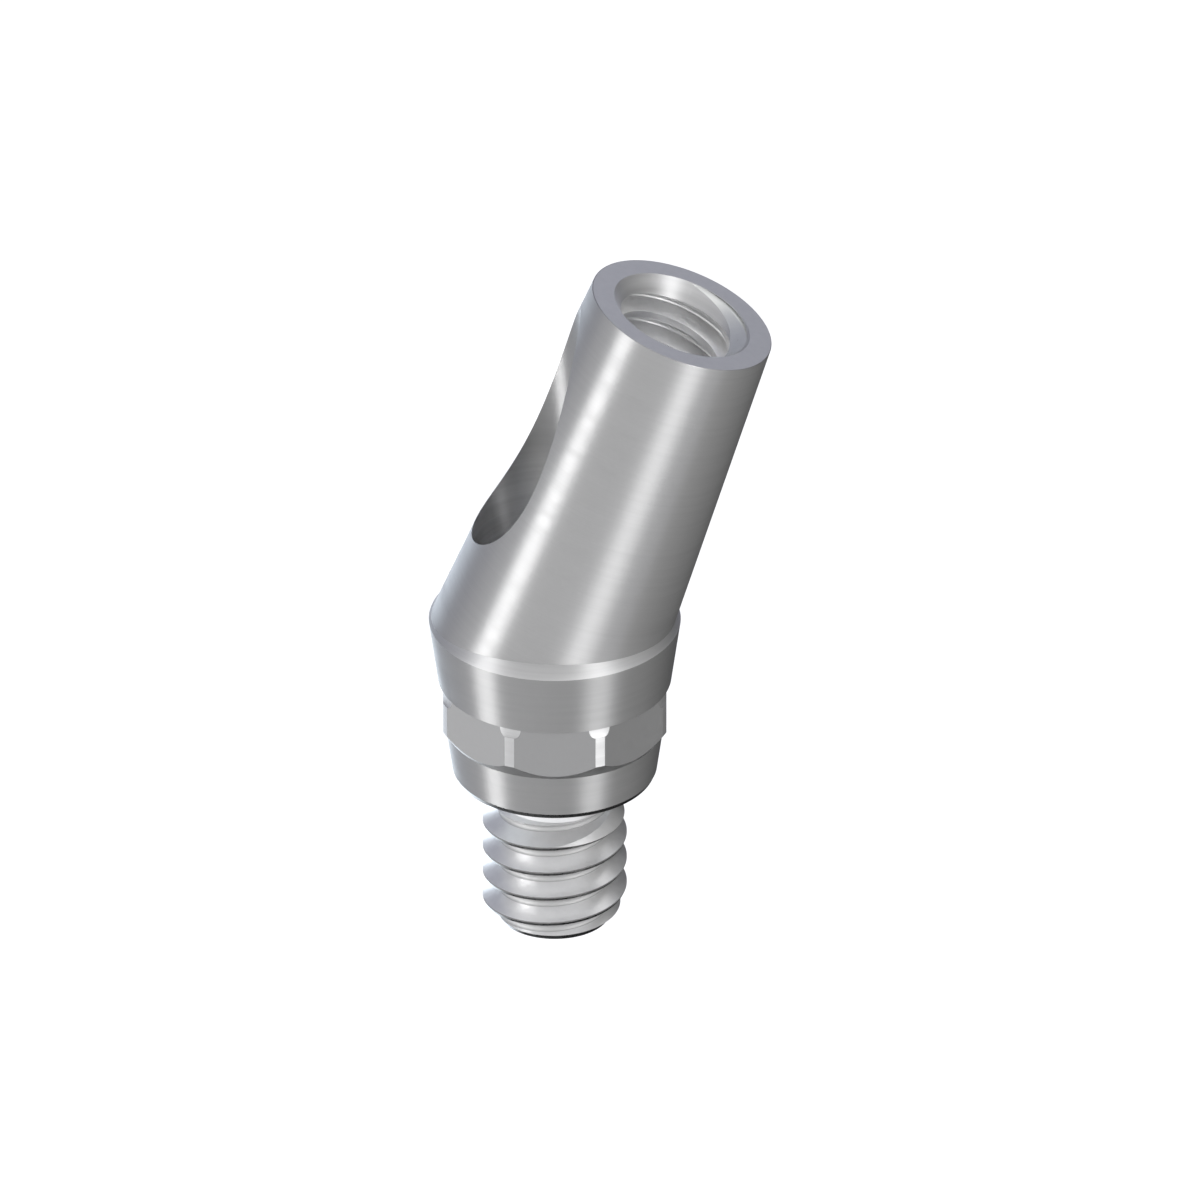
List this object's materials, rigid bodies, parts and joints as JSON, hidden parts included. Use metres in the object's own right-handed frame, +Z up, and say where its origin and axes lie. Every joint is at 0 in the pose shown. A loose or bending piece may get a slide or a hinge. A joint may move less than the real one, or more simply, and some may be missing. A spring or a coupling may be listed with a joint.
{
  "type": "angled dental abutment",
  "caption": "Angled titanium dental abutment: a tilted conical post with a threaded top bore and a side driver channel, on a tapered octagonal base with a captive basal screw.",
  "frame": {"origin": "on the base axis, level with the shoulder's ridge, where the implant's rim ends", "axes": "+Z up the base axis, away from the implant; the post leans towards +X; the part is symmetric about the XZ plane"},
  "size_m": [0.0048, 0.0034, 0.01],
  "materials": {
    "body_titanium": "fine turned titanium, satin",
    "screw_titanium": "rolled titanium thread, bright satin"
  },
  "bodies": {
    "abutment": {"abutment_body": "body_titanium"},
    "screw": {"abutment_screw": "screw_titanium"}
  },
  "joints": [
    {"name": "screw_turn", "type": "hinge", "parent": "abutment", "child": "screw", "pos_m": [0, 0, 0], "axis": [0, 0, 1], "continuous": true}
  ]
}
